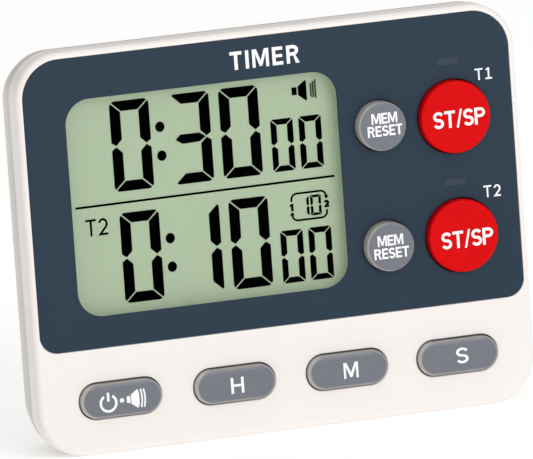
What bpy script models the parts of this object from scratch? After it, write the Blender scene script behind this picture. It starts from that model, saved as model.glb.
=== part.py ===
"""Two-channel digital lab timer, standing upright on its flat lower edge.

Row frame: X runs along the front face to the reader's right, Y runs from the front to the back, Z is up.
The origin is the middle of the footprint at the height of the lower edge. Sizes below are in millimetres,
and a "depth" is the distance behind the front plane of the case.
"""

import math

import bmesh
import bpy
from mathutils import Matrix, Vector

MM = 0.001

# Case
HALF_W = 52.0
TOP = 81.0
THICK = 20.0
FRONT_Y = -8.85  # the tallest button stands 2.3 proud, so this centres the whole depth on Y = 0
R_TOP = 9.05
R_LOW = 9.5
EDGE_R = 1.1
WALL = 2.0
FRONT_WALL = 2.3
PART_FRONT = 5.2  # the front shell ends here
PART_REAR = 5.5  # the rear shell starts here, which leaves the parting groove
REAR_INSET = 0.3
STRAIGHT = 8.4  # the rear shell's sides and top lean inwards behind this depth
LEAN = 2.68
REAR_EDGE = 1.2
LIP_START = 4.0
LIP_GAP = 0.2
REAR_INNER_HALF_W = 48.9
REAR_INNER_TOP = 77.9
REAR_INNER_LOW = 3.1
REAR_INNER_LEAN = 1.5
BACK_INNER = 18.1

# Face
PANEL_X = (-50.65, 50.65)
PANEL_Z = (21.35, 79.65)
PANEL_R_TOP = 7.7
PANEL_R_LOW = 3.6
PANEL_DEPTH = (0.1, 0.5)
RECESS_FLOOR = 0.6
WINDOW_X = (-42.2, 14.2)
WINDOW_Z = (27.6, 71.2)
WINDOW_R = 5.1
LENS_MARGIN = 1.8
LENS_BACK = 1.65

# Keys: name, x, z
STARTS = (("t1", 38.18, 59.05), ("t2", 38.18, 35.0))
RESETS = (("t1", 22.6, 59.03), ("t2", 22.6, 34.7))
START_R = 7.3
START_PROUD = 1.7
START_EDGE = 0.5
RESET_R = 4.95
RESET_PROUD = 2.3
RESET_EDGE = 0.6
KEYS = (("power", -35.1), ("hour", -11.3), ("minute", 12.3), ("second", 35.6))
KEY_Z = 10.84
KEY_HALF_W = 8.35
KEY_HALF_H = 3.48
KEY_R = 3.4
KEY_PROUD = 1.4
KEY_EDGE = 1.0
HOLE_GAP = 0.25
FLANGE = 0.9
FLANGE_DEPTH = (2.5, 3.3)
PLUNGER_DEPTH = (3.4, 4.35)
PLUNGER_R = 2.0
START_PLUNGER_R = 2.6
PADS_DEPTH = (4.55, 5.2)

# Lamps above the start keys: name, x, z
LAMPS = (("t1", 37.77, 70.1), ("t2", 37.77, 45.8))
LAMP_HALF_W = 2.3
LAMP_HALF_H = 0.8

# Board
BOARD_DEPTH = (5.3, 6.5)
CASE_SCREWS = ((-42.5, 19.5), (10.9, 19.5), (44.0, 70.0), (19.5, 71.0))
BOARD_SCREWS = ((45.5, 46.8), (-23.4, 19.0), (31.0, 74.0))
BOSS_R = 2.7
BOSS_HOLE_R = 1.35
BOSS_BACK = 12.0
STUD_R = 1.9
STUD_HOLE_R = 0.9
POST_R = 3.3
COUNTERBORE_R = 2.3
COUNTERBORE_FLOOR = 14.0

# Battery bay, its door and the cells
BAY_X = (17.0, 40.0)
BAY_Z = (7.0, 57.0)
BAY_WALL = 1.2
BAY_FLOOR = 7.8
CELL_X = (22.9, 34.1)
CELL_DEPTH = 13.2
CELL_R = 5.15
CELL_LEN = 44.5
NUB_R = 1.9
DOOR_X = (15.0, 42.0)
DOOR_Z = (0.1, 60.0)
DOOR_FRONT = 18.6
DOOR_GAP = 0.3
TONGUE = 0.9

# Fold-out stand
STAND_X = (-37.8, 7.0)
STAND_LOW = 8.0
STAND_CORNER = 2.5
STAND_GAP = 0.4
HINGE_DEPTH = 18.6
HINGE_Z = 57.6
STAND_HALF_T = 1.4
PIN_R = 0.8
PIN_REACH = 1.7

MAGNETS = (("left", -30.0), ("right", 30.0))
MAGNET_Z = 68.5
MAGNET_R = 6.0
MAGNET_FRONT = 18.0

BEYOND = THICK + 1.0  # cutters that open at the back end here
CORNER_STEPS = 6  # faces in each quarter-round corner of the case
ROUND = 32  # sides of a large round piece

COLOURS = {
    "shell": (0.90, 0.87, 0.84, 0.35, 0.0),
    "panel": (0.036, 0.053, 0.078, 0.30, 0.0),
    "clear": (0.80, 0.84, 0.84, 0.05, 0.0),
    "lcd": (0.42, 0.50, 0.35, 0.40, 0.0),
    "red": (0.70, 0.010, 0.012, 0.35, 0.0),
    "grey": (0.20, 0.21, 0.23, 0.45, 0.0),
    "rubber": (0.05, 0.05, 0.05, 0.80, 0.0),
    "silicone": (0.55, 0.55, 0.53, 0.70, 0.0),
    "board": (0.02, 0.16, 0.05, 0.45, 0.0),
    "epoxy": (0.01, 0.01, 0.01, 0.35, 0.0),
    "steel": (0.60, 0.60, 0.60, 0.30, 1.0),
    "ferrite": (0.10, 0.10, 0.11, 0.45, 0.4),
    "cell": (0.25, 0.26, 0.28, 0.30, 0.6),
    "lamp": (0.45, 0.03, 0.03, 0.25, 0.0),
    "smoke": (0.060, 0.052, 0.080, 0.30, 0.0),
}


# ---------------------------------------------------------------- scene


def clear_scene():
    for obj in list(bpy.data.objects):
        bpy.data.objects.remove(obj, do_unlink=True)
    for collection in list(bpy.data.collections):
        bpy.data.collections.remove(collection)


def new_collection(name, hidden):
    collection = bpy.data.collections.new(name)
    bpy.context.scene.collection.children.link(collection)
    collection.hide_render = hidden
    return collection


def material(key):
    found = bpy.data.materials.get(key)
    if found:
        return found
    red, green, blue, roughness, metallic = COLOURS[key]
    made = bpy.data.materials.new(key)
    made.use_nodes = True
    shader = made.node_tree.nodes["Principled BSDF"]
    shader.inputs["Base Color"].default_value = (red, green, blue, 1.0)
    shader.inputs["Roughness"].default_value = roughness
    shader.inputs["Metallic"].default_value = metallic
    made.diffuse_color = (red, green, blue, 1.0)
    return made


def as_part(obj, key):
    obj.data.materials.append(material(key))
    PARTS.objects.link(obj)
    return obj


def as_helper(obj):
    obj.display_type = "WIRE"
    obj.hide_render = True
    HELPERS.objects.link(obj)
    return obj


def combine(obj, operation, other):
    modifier = obj.modifiers.new(other.name, "BOOLEAN")
    modifier.operation = operation
    modifier.solver = "EXACT"
    modifier.object = as_helper(other)


def join(obj, other):
    combine(obj, "UNION", other)


def cut(obj, other):
    combine(obj, "DIFFERENCE", other)


# ---------------------------------------------------------------- shapes


def finish(name, bm, origin=(0.0, 0.0, 0.0)):
    """An object from a mesh drawn in millimetres, with its origin at this point of the row frame."""
    bm.transform(Matrix.Translation(-Vector(origin)))
    bm.transform(Matrix.Scale(MM, 4))
    mesh = bpy.data.meshes.new(name)
    bm.to_mesh(mesh)
    bm.free()
    mesh.shade_smooth()
    mesh.set_sharp_from_angle(angle=math.radians(35))
    obj = bpy.data.objects.new(name, mesh)
    obj.location = Vector(origin) * MM
    return obj


def block(x, depth, z):
    """A box between the two ends given for each direction."""
    spans = (x, (FRONT_Y + depth[0], FRONT_Y + depth[1]), z)
    centre = [(low + high) / 2 for low, high in spans]
    size = [high - low for low, high in spans]
    bm = bmesh.new()
    bmesh.ops.create_cube(bm, matrix=Matrix.LocRotScale(centre, None, size))
    return bm


def bevel(bm, edges, radius, steps):
    bmesh.ops.bevel(bm, geom=list(edges), offset=radius, segments=steps, profile=0.5, affect="EDGES")


def round_corners(bm, r_top, r_low, steps=CORNER_STEPS):
    """Rounds the box edges that run from front to back, the upper two and the lower two apart."""
    middle = sum(v.co.z for v in bm.verts) / len(bm.verts)
    along = [e for e in bm.edges if abs((e.verts[0].co - e.verts[1].co).normalized().y) > 0.99]
    upper = [e for e in along if e.verts[0].co.z > middle]
    lower = [e for e in along if e.verts[0].co.z < middle]
    bevel(bm, upper, r_top, steps)
    bevel(bm, lower, r_low, steps)


def rim(bm, depth):
    """The edges that lie in the plane at this depth."""
    return [e for e in bm.edges if all(abs(v.co.y - FRONT_Y - depth) < 1e-4 for v in e.verts)]


def edges_at_height(edges, height):
    return [e for e in edges if all(abs(v.co.z - height) < 1e-4 for v in e.verts)]


def along_x(edge):
    return abs((edge.verts[0].co - edge.verts[1].co).normalized().x) > 0.99


def plate(name, x, depth, z, r_top, r_low=None, steps=CORNER_STEPS, grow=0.0):
    """A flat piece with round corners, grown by this much all round its outline."""
    r_low = r_top if r_low is None else r_low
    bm = block((x[0] - grow, x[1] + grow), depth, (z[0] - grow, z[1] + grow))
    round_corners(bm, r_top + grow, r_low + grow, steps)
    return finish(name, bm)


def box(name, x, depth, z, grow=0.0):
    return finish(name, block((x[0] - grow, x[1] + grow), depth, (z[0] - grow, z[1] + grow)))


def rod(name, x, z, depth, radius, sides=ROUND):
    """A cylinder that runs from front to back."""
    bm = bmesh.new()
    length = depth[1] - depth[0]
    bmesh.ops.create_cone(
        bm, cap_ends=True, segments=sides, radius1=radius, radius2=radius, depth=length
    )
    bm.transform(Matrix.Rotation(math.pi / 2, 4, "X"))
    bm.transform(Matrix.Translation((x, FRONT_Y + sum(depth) / 2, z)))
    return finish(name, bm)


def crosswise_rod(name, x, depth, z, radius, sides=20):
    """A cylinder that runs from left to right."""
    bm = bmesh.new()
    length = x[1] - x[0]
    bmesh.ops.create_cone(
        bm, cap_ends=True, segments=sides, radius1=radius, radius2=radius, depth=length
    )
    bm.transform(Matrix.Rotation(math.pi / 2, 4, "Y"))
    bm.transform(Matrix.Translation((sum(x) / 2, FRONT_Y + depth, z)))
    return finish(name, bm)


def turned(name, profile, place, upright=False, sides=ROUND):
    """A profile of (radius, height) points from top to bottom, turned about its own Z axis. It stands
    upright, or lies with its top towards the reader."""
    bm = bmesh.new()
    points = [(0.0, profile[0][1]), *profile, (0.0, profile[-1][1])]
    verts = [bm.verts.new((radius * MM, 0.0, height * MM)) for radius, height in points]
    for upper, lower in zip(verts, verts[1:]):
        bm.edges.new((upper, lower))
    mesh = bpy.data.meshes.new(name)
    bm.to_mesh(mesh)
    bm.free()
    obj = bpy.data.objects.new(name, mesh)
    obj.location = Vector(place) * MM
    obj.rotation_euler.x = 0.0 if upright else math.pi / 2
    screw = obj.modifiers.new("turn", "SCREW")
    screw.steps = sides
    screw.render_steps = sides
    screw.use_merge_vertices = True
    screw.merge_threshold = 0.000001
    screw.use_smooth_shade = True
    return obj


def rounded_top(radius, height, edge, steps=3):
    """Profile points of a flat top with a quarter-round edge."""
    angles = [math.pi / 2 * i / steps for i in range(steps + 1)]
    return [(radius - edge * (1 - math.sin(a)), height - edge * (1 - math.cos(a))) for a in angles]


# ---------------------------------------------------------------- case


def build_front_shell():
    bm = block((-HALF_W, HALF_W), (0.0, PART_FRONT), (0.0, TOP))
    round_corners(bm, R_TOP, R_LOW)
    bevel(bm, rim(bm, 0.0), EDGE_R, 4)
    shell = as_part(finish("front_shell", bm), "shell")
    inside_x, inside_z = (WALL - HALF_W, HALF_W - WALL), (WALL, TOP - WALL)
    behind = (FRONT_WALL, PART_FRONT + 2)
    cut(shell, plate("front_cavity", inside_x, behind, inside_z, R_TOP - WALL, R_LOW - WALL))
    recess = (-1.0, RECESS_FLOOR)
    cut(shell, plate("panel_recess", PANEL_X, recess, PANEL_Z, PANEL_R_TOP, PANEL_R_LOW, grow=0.1))
    pocket = (0.3, LENS_BACK + 0.1)
    cut(shell, plate("lens_pocket", WINDOW_X, pocket, WINDOW_Z, WINDOW_R, grow=LENS_MARGIN + 0.1))
    through = (0.3, FRONT_WALL + 1.0)
    cut(shell, plate("window_opening", WINDOW_X, through, WINDOW_Z, WINDOW_R, grow=0.6))
    for name, x, z in STARTS:
        cut(shell, rod(f"shell_start_{name}", x, z, through, START_R + HOLE_GAP))
    for name, x, z in RESETS:
        cut(shell, rod(f"shell_reset_{name}", x, z, through, RESET_R + HOLE_GAP))
    for name, x in KEYS:
        cut(shell, key_plate(f"shell_key_{name}", x, (-1.0, FRONT_WALL + 1.0), HOLE_GAP))
    for name, x, z in LAMPS:
        cut(shell, lamp_bar(f"shell_lamp_{name}", x, z, through, 0.1))
    for i, (x, z) in enumerate(CASE_SCREWS):
        join(shell, rod(f"boss_{i}", x, z, (FRONT_WALL - 0.4, BOSS_BACK), BOSS_R, 20))
        cut(shell, rod(f"boss_hole_{i}", x, z, (4.0, BOSS_BACK + 1), BOSS_HOLE_R, 12))
    for i, (x, z) in enumerate(BOARD_SCREWS):
        join(shell, rod(f"stud_{i}", x, z, (FRONT_WALL - 0.4, BOARD_DEPTH[0] - 0.1), STUD_R, 16))
        cut(shell, rod(f"stud_hole_{i}", x, z, (2.8, BOARD_DEPTH[1]), STUD_HOLE_R, 8))


def key_spans(x):
    return (x - KEY_HALF_W, x + KEY_HALF_W), (KEY_Z - KEY_HALF_H, KEY_Z + KEY_HALF_H)


def key_plate(name, x, depth, grow):
    span_x, span_z = key_spans(x)
    return plate(name, span_x, depth, span_z, KEY_R, steps=5, grow=grow)


def lamp_bar(name, x, z, depth, grow=0.0):
    span_x, span_z = (x - LAMP_HALF_W, x + LAMP_HALF_W), (z - LAMP_HALF_H, z + LAMP_HALF_H)
    return box(name, span_x, depth, span_z, grow)


def build_face():
    panel = plate("face_panel", PANEL_X, PANEL_DEPTH, PANEL_Z, PANEL_R_TOP, PANEL_R_LOW)
    as_part(panel, "panel")
    through = (-1.0, 2.0)
    cut(panel, plate("panel_window", WINDOW_X, through, WINDOW_Z, WINDOW_R))
    for name, x, z in STARTS:
        cut(panel, rod(f"panel_start_{name}", x, z, through, START_R + HOLE_GAP))
    for name, x, z in RESETS:
        cut(panel, rod(f"panel_reset_{name}", x, z, through, RESET_R + HOLE_GAP))
    for name, x, z in LAMPS:
        cut(panel, lamp_bar(f"panel_lamp_{name}", x, z, through, 0.1))
        as_part(lamp_bar(f"light_pipe_{name}", x, z, (PANEL_DEPTH[0], 2.9)), "smoke")
    seated = (RECESS_FLOOR, LENS_BACK)
    lens = plate("display_window", WINDOW_X, seated, WINDOW_Z, WINDOW_R, grow=LENS_MARGIN)
    as_part(lens, "clear")


def lean(bm, depth, back, x_scale, z_scale, z_fixed):
    """Extends the rear face of the mesh to a new depth and narrows it about X = 0 and this height."""
    face = max(bm.faces, key=lambda f: f.calc_center_median().y)
    made = bmesh.ops.extrude_face_region(bm, geom=[face])
    bmesh.ops.delete(bm, geom=[face], context="FACES_ONLY")
    for v in made["geom"]:
        if isinstance(v, bmesh.types.BMVert):
            v.co = (v.co.x * x_scale, v.co.y + back - depth, z_fixed + (v.co.z - z_fixed) * z_scale)


def rear_body():
    half_w, top = HALF_W - REAR_INSET, TOP - REAR_INSET
    bm = block((-half_w, half_w), (PART_REAR, STRAIGHT), (0.0, top))
    round_corners(bm, R_TOP - REAR_INSET, R_LOW)
    lean(bm, STRAIGHT, THICK, 1 - LEAN / half_w, 1 - LEAN / top, 0.0)
    bevel(bm, rim(bm, THICK), REAR_EDGE, 3)
    return finish("rear_shell", bm)


def rear_cavity():
    half_w = REAR_INNER_HALF_W
    bm = block((-half_w, half_w), (LIP_START - 1, STRAIGHT), (REAR_INNER_LOW, REAR_INNER_TOP))
    round_corners(bm, 5.95, 6.4)
    height = REAR_INNER_TOP - REAR_INNER_LOW
    x_scale, z_scale = 1 - REAR_INNER_LEAN / half_w, 1 - REAR_INNER_LEAN / height
    lean(bm, STRAIGHT, BACK_INNER, x_scale, z_scale, REAR_INNER_LOW)
    return finish("rear_cavity", bm)


def build_rear_shell():
    shell = as_part(rear_body(), "shell")
    inset = WALL + LIP_GAP
    lip_x, lip_z = (inset - HALF_W, HALF_W - inset), (inset, TOP - inset)
    join(shell, plate("lip", lip_x, (LIP_START, 6.5), lip_z, R_TOP - inset, R_LOW - inset))
    cut(shell, rear_cavity())
    join(shell, box("bay_outside", BAY_X, (BAY_FLOOR - 1.0, 18.5), BAY_Z, BAY_WALL))
    join(shell, box("door_ledge", (12.4, 44.6), (16.9, 18.55), (1.2, 61.8)))
    tray_x = (STAND_X[0] - 2.8, STAND_X[1] + 2.6)
    join(shell, box("stand_tray", tray_x, (15.4, 18.6), (2.0, 60.9)))
    pocket = (MAGNET_FRONT - 0.2, BEYOND)
    for name, x in MAGNETS:
        join(shell, rod(f"magnet_seat_{name}", x, MAGNET_Z, (16.2, 18.6), MAGNET_R + 1.4, 24))
        cut(shell, rod(f"magnet_pocket_{name}", x, MAGNET_Z, pocket, MAGNET_R + 0.15, 28))
    counterbore, hole = (COUNTERBORE_FLOOR, BEYOND), (BOSS_BACK - 1, COUNTERBORE_FLOOR + 1)
    for i, (x, z) in enumerate(CASE_SCREWS):
        join(shell, rod(f"post_{i}", x, z, (BOSS_BACK + 0.3, 18.6), POST_R, 20))
        cut(shell, rod(f"counterbore_{i}", x, z, counterbore, COUNTERBORE_R, 16))
        cut(shell, rod(f"screw_hole_{i}", x, z, hole, BOSS_HOLE_R, 12))
    cut_battery_bay(shell)
    cut_stand_recess(shell)
    for i in range(5):
        x = 3.0 * (i - 2)
        slot_x = (x - 0.65, x + 0.65)
        cut(shell, plate(f"sound_slot_{i}", slot_x, (16.0, BEYOND), (65.0, 73.0), 0.6, steps=2))


def cut_battery_bay(shell):
    cut(shell, plate("bay_inside", BAY_X, (BAY_FLOOR, BEYOND), BAY_Z, 0.6, steps=2))
    slot_depth, slot_z = (6.0, BAY_FLOOR + 0.5), (BAY_Z[0] + 0.01, BAY_Z[0] + 0.9)
    for i, x in enumerate(CELL_X):
        cut(shell, box(f"contact_slot_{i}", (x - 4.3, x + 4.3), slot_depth, slot_z))
    cover_x = (DOOR_X[0] - DOOR_GAP, DOOR_X[1] + DOOR_GAP)
    rails_x = (cover_x[0] - TONGUE, cover_x[1] + TONGUE)
    cover_z = (-1.0, DOOR_Z[1] + DOOR_GAP)
    front = DOOR_FRONT - DOOR_GAP
    cut(shell, box("door_recess", cover_x, (front, BEYOND), cover_z))
    cut(shell, box("door_rails", rails_x, (front, 19.3), cover_z))


def cut_stand_recess(shell):
    x0, x1 = STAND_X[0] - STAND_GAP, STAND_X[1] + STAND_GAP
    top = HINGE_Z + STAND_HALF_T + 0.3
    floor = HINGE_DEPTH - STAND_HALF_T - STAND_GAP
    corner = STAND_CORNER + STAND_GAP
    outline_z = (STAND_LOW - STAND_GAP, top)
    cut(shell, plate("stand_recess", (x0, x1), (floor, BEYOND), outline_z, 0.2, corner))
    middle = sum(STAND_X) / 2
    dish_x = (middle - 7.5, middle + 7.5)
    cut(shell, plate("finger_dish", dish_x, (17.6, BEYOND), (3.2, 9.4), 2.5, steps=4))
    bore = PIN_R + 0.09
    cut(shell, crosswise_rod("pin_hole_left", (x0 - 1.8, x0 + 1.4), HINGE_DEPTH, HINGE_Z, bore))
    cut(shell, crosswise_rod("pin_hole_right", (x1 - 1.4, x1 + 1.8), HINGE_DEPTH, HINGE_Z, bore))


# ---------------------------------------------------------------- display, board and what is on it


def build_display():
    x0, x1 = WINDOW_X
    z0, z1 = WINDOW_Z
    glass_x, film_x, strip_x = (x0 - 1.9, x1 + 1.5), (x0 - 1.6, x1 + 1.2), (x0 - 0.9, x1 + 0.5)
    film_z = (z0 - 0.65, z1 + 0.75)
    pads_back = PADS_DEPTH[1]
    as_part(box("lcd_front_glass", glass_x, (2.4, 3.1), (z0 - 3.25, z1 + 3.35)), "clear")
    as_part(box("lcd_rear_glass", glass_x, (3.2, 3.9), (z0 - 0.95, z1 + 1.05)), "clear")
    as_part(box("lcd_reflector", film_x, (4.0, 4.2), film_z), "lcd")
    as_part(box("lcd_foam_pad", film_x, (4.3, pads_back), film_z), "rubber")
    as_part(box("zebra_bottom", strip_x, (3.2, pads_back), (z0 - 3.05, z0 - 1.35)), "silicone")
    as_part(box("zebra_top", strip_x, (3.2, pads_back), (z1 + 1.45, z1 + 3.15)), "silicone")


def build_board():
    board = plate("circuit_board", (-47.5, 47.5), BOARD_DEPTH, (5.0, 77.0), 5.5, steps=4)
    as_part(board, "board")
    for i, (x, z) in enumerate(CASE_SCREWS):
        cut(board, rod(f"board_boss_{i}", x, z, (4.0, 8.0), BOSS_R + 0.3, 16))
    for i, (x, z) in enumerate(BOARD_SCREWS):
        cut(board, rod(f"board_hole_{i}", x, z, (4.0, 8.0), STUD_HOLE_R + 0.05, 10))
    rear = FRONT_Y + BOARD_DEPTH[1] + 0.1
    facing_back = [(3.0, 1.5), (5.2, 1.1), (6.4, 0.5), (6.5, 0.0)]
    chip = turned("chip_blob", facing_back, (-14.0, rear, 48.0), sides=20)
    chip.rotation_euler.x = -math.pi / 2
    as_part(chip, "epoxy")
    sounder = [(1.2, 7.4), (1.2, 8.4), (5.7, 8.4), (6.0, 8.1), (6.0, 0.0)]
    buzzer = turned("buzzer", sounder, (0.0, rear, 69.0), sides=24)
    buzzer.rotation_euler.x = -math.pi / 2
    as_part(buzzer, "epoxy")
    as_part(rod("capacitor", -30.0, 66.0, (BOARD_DEPTH[1] + 0.1, 12.0), 2.5, 16), "epoxy")
    can = [(1.0, 6.0), (1.0, 0.0)]
    as_part(turned("crystal", can, (0.0, rear + 1.1, 36.0), upright=True, sides=12), "steel")
    for name, x, z in LAMPS:
        led = box(f"led_{name}", (x - 1.6, x + 1.6), (4.1, PADS_DEPTH[1]), (z - 0.75, z + 0.75))
        as_part(led, "lamp")


# ---------------------------------------------------------------- keys


def build_round_key(name, key, x, z, radius, proud, edge, plunger_r):
    """A turned cap with a flange that keeps it in the case, and the puck that rides behind it."""
    flange_front, flange_back = FLANGE_DEPTH
    profile = rounded_top(radius, proud, edge)
    profile += [(radius, -flange_front), (radius + FLANGE, -flange_front), (radius + FLANGE, -flange_back)]
    as_part(turned(f"button_{name}", profile, (x, FRONT_Y, z)), key)
    puck = [(plunger_r, -PLUNGER_DEPTH[0]), (plunger_r, -PLUNGER_DEPTH[1])]
    as_part(turned(f"plunger_{name}", puck, (x, FRONT_Y, z), sides=16), "rubber")


def build_long_key(name, x):
    origin = (x, FRONT_Y, KEY_Z)
    span_x, span_z = key_spans(x)
    bm = block(span_x, (-KEY_PROUD, FLANGE_DEPTH[1]), span_z)
    round_corners(bm, KEY_R, KEY_R, 5)
    bevel(bm, rim(bm, -KEY_PROUD), KEY_EDGE, 3)
    cap = as_part(finish(f"key_{name}", bm, origin), "grey")
    join(cap, key_plate(f"key_flange_{name}", x, FLANGE_DEPTH, FLANGE))
    puck = [(PLUNGER_R, -PLUNGER_DEPTH[0]), (PLUNGER_R, -PLUNGER_DEPTH[1])]
    as_part(turned(f"plunger_{name}", puck, origin, sides=16), "rubber")


def build_keys():
    for name, x, z in STARTS:
        build_round_key(f"start_{name}", "red", x, z, START_R, START_PROUD, START_EDGE, START_PLUNGER_R)
    for name, x, z in RESETS:
        build_round_key(f"reset_{name}", "grey", x, z, RESET_R, RESET_PROUD, RESET_EDGE, PLUNGER_R)
    for name, x in KEYS:
        build_long_key(name, x)


def build_key_pads():
    through = (4.0, 6.0)
    upper = as_part(box("keypad_upper", (17.0, 46.9), PADS_DEPTH, (26.2, 66.9)), "silicone")
    for name, x, z in STARTS:
        cut(upper, rod(f"pad_start_{name}", x, z, through, START_PLUNGER_R + 0.8, 16))
    for name, x, z in RESETS:
        cut(upper, rod(f"pad_reset_{name}", x, z, through, PLUNGER_R + 0.8, 14))
    _, x, z = LAMPS[1]
    cut(upper, box("pad_lamp", (x - 3.0, x + 3.0), through, (z - 1.5, z + 1.5)))
    x, z = BOARD_SCREWS[0]
    cut(upper, box("pad_stud", (x - 2.3, x + 3.0), through, (z - 2.3, z + 2.3)))
    lower = as_part(box("keypad_lower", (-45.0, 45.0), PADS_DEPTH, (6.4, 15.2)), "silicone")
    for name, x in KEYS:
        cut(lower, rod(f"pad_key_{name}", x, KEY_Z, through, PLUNGER_R + 0.8, 14))


# ---------------------------------------------------------------- power


def build_cell(name, x, low, nub_up):
    """An AAA cell, which stands on its flat end or, turned over, on its nub."""
    body = CELL_LEN - 1.0
    profile = [(NUB_R, CELL_LEN), (NUB_R, body), (CELL_R - 0.5, body), (CELL_R, body - 0.3)]
    profile += [(CELL_R, 0.3), (CELL_R - 0.5, 0.0)]
    place = (x, FRONT_Y + CELL_DEPTH, low if nub_up else low + CELL_LEN)
    cell = turned(name, profile, place, upright=True, sides=20)
    cell.rotation_euler.x = 0.0 if nub_up else math.pi
    as_part(cell, "cell")


def build_spring(name, x, low, high):
    """A coil spring round an upright axis."""
    turns, per_turn, coil_r, wire_r = 3, 10, 2.6, 0.35
    count = turns * per_turn
    rise = (high - low - 2 * wire_r) / count
    curve = bpy.data.curves.new(name, "CURVE")
    curve.dimensions = "3D"
    curve.bevel_depth = wire_r * MM
    curve.bevel_resolution = 1
    curve.use_fill_caps = True
    spline = curve.splines.new("POLY")
    spline.points.add(count)
    for i, point in enumerate(spline.points):
        angle = 2 * math.pi * i / per_turn
        across, inwards = coil_r * math.cos(angle), coil_r * math.sin(angle)
        point.co = (across * MM, inwards * MM, (wire_r + rise * i) * MM, 1.0)
    obj = bpy.data.objects.new(name, curve)
    obj.location = Vector((x, FRONT_Y + CELL_DEPTH, low)) * MM
    as_part(obj, "steel")


def build_power():
    low_plate, high_plate = BAY_Z[0] + 0.2, BAY_Z[1] - 0.8
    left, right = CELL_X
    build_cell("battery_a", left, 11.4, True)
    build_cell("battery_b", right, 7.9, False)
    build_spring("spring_a", left, low_plate + 0.5, 11.3)
    build_spring("spring_b", right, 52.5, high_plate - 0.1)
    for name, x in (("contact_negative", left), ("contact_positive", right)):
        leaf = box(name, (x - 4.0, x + 4.0), (BOARD_DEPTH[1] + 0.1, 17.4), (low_plate, low_plate + 0.4))
        as_part(leaf, "steel")
    bridge_z = (high_plate, high_plate + 0.4)
    bridge = box("contact_bridge", (left - 4.6, right + 4.6), (BAY_FLOOR + 0.5, 17.4), bridge_z)
    as_part(bridge, "steel")


def cut_grip(obj, count, x, low):
    """Finger grooves across the back face, one above another."""
    for i in range(count):
        z = low + 1.8 * i
        cut(obj, box(f"{obj.name}_grip_{i}", x, (THICK - 0.5, BEYOND), (z, z + 0.9)))


def build_door():
    middle = sum(DOOR_X) / 2
    bm = block(DOOR_X, (DOOR_FRONT, THICK), DOOR_Z)
    bevel(bm, edges_at_height(rim(bm, THICK), DOOR_Z[0]), REAR_EDGE - 0.1, 3)
    door = as_part(finish("battery_door", bm, (middle, FRONT_Y + DOOR_FRONT, DOOR_Z[1])), "shell")
    tongues_x = (DOOR_X[0] - TONGUE, DOOR_X[1] + TONGUE)
    join(door, box("door_tongues", tongues_x, (DOOR_FRONT, DOOR_FRONT + 0.45), (4.0, 58.0)))
    cut_grip(door, 5, (middle - 6.5, middle + 6.5), 9.0)


# ---------------------------------------------------------------- stand, magnets and screws


def build_stand():
    x0, x1 = STAND_X
    top = HINGE_Z + STAND_HALF_T
    bm = block(STAND_X, (HINGE_DEPTH - STAND_HALF_T, HINGE_DEPTH + STAND_HALF_T), (STAND_LOW, top))
    bevel(bm, [e for e in edges_at_height(bm.edges, top) if along_x(e)], STAND_HALF_T - 0.02, 5)
    foot = [e for e in edges_at_height(bm.edges, STAND_LOW) if not along_x(e)]
    bevel(bm, foot, STAND_CORNER, 4)
    middle = (x0 + x1) / 2
    stand = as_part(finish("stand", bm, (middle, FRONT_Y + HINGE_DEPTH, HINGE_Z)), "shell")
    pins_x = (x0 - PIN_REACH, x1 + PIN_REACH)
    join(stand, crosswise_rod("pins", pins_x, HINGE_DEPTH, HINGE_Z, PIN_R))
    inset_x, inset_z = (x0 + 5, x1 - 5), (STAND_LOW + 9, HINGE_Z - 7)
    cut(stand, plate("stand_inset", inset_x, (THICK - 0.6, BEYOND), inset_z, 3.0, steps=4))
    cut_grip(stand, 3, (middle - 9, middle + 9), STAND_LOW + 2.0)


def build_magnets():
    for name, x in MAGNETS:
        length = THICK - MAGNET_FRONT
        profile = [(MAGNET_R - 0.2, length), (MAGNET_R, length - 0.2), (MAGNET_R, 0.0)]
        magnet = turned(f"magnet_{name}", profile, (x, FRONT_Y + MAGNET_FRONT, MAGNET_Z), sides=28)
        magnet.rotation_euler.x = -math.pi / 2
        as_part(magnet, "ferrite")


def build_screw(name, x, z, under_head, profile, sides, slot_half, slot_arm, slot_floor):
    """A pan-head screw with a cross recess, whose head faces the back."""
    screw = turned(name, profile, (x, FRONT_Y + under_head, z), sides=sides)
    screw.rotation_euler.x = -math.pi / 2
    as_part(screw, "steel")
    depth = (under_head + slot_floor, under_head + 4.0)
    cut(screw, box(f"{name}_slot_a", (x - slot_arm, x + slot_arm), depth, (z - slot_half, z + slot_half)))
    cut(screw, box(f"{name}_slot_b", (x - slot_half, x + slot_half), depth, (z - slot_arm, z + slot_arm)))


def build_screws():
    under_head = COUNTERBORE_FLOOR + 0.1
    case_profile = [(1.5, 1.4), (2.0, 0.9), (2.0, 0.0), (1.1, 0.0), (1.1, -6.7), (0.6, -7.5)]
    for i, (x, z) in enumerate(CASE_SCREWS):
        build_screw(f"case_screw_{i + 1}", x, z, under_head, case_profile, 14, 0.25, 1.1, 0.5)
    under_head = BOARD_DEPTH[1] + 0.1
    board_profile = [(1.0, 0.9), (1.4, 0.6), (1.4, 0.0), (0.7, 0.0), (0.7, -3.2)]
    for i, (x, z) in enumerate(BOARD_SCREWS):
        build_screw(f"board_screw_{i + 1}", x, z, under_head, board_profile, 12, 0.17, 0.75, 0.4)


clear_scene()
PARTS = new_collection("lab_timer", hidden=False)
HELPERS = new_collection("cutters", hidden=True)
build_front_shell()
build_face()
build_rear_shell()
build_display()
build_board()
build_keys()
build_key_pads()
build_power()
build_door()
build_stand()
build_magnets()
build_screws()
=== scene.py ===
"""Looks of the two-channel digital lab timer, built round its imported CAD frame.

Lengths are in millimetres until a mesh is finished. A "depth" is the distance behind the front plane of
the case, and x and z run right and up as they do in the frame.
"""

import math

import bmesh
import bpy
from mathutils import Matrix, Vector


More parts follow.
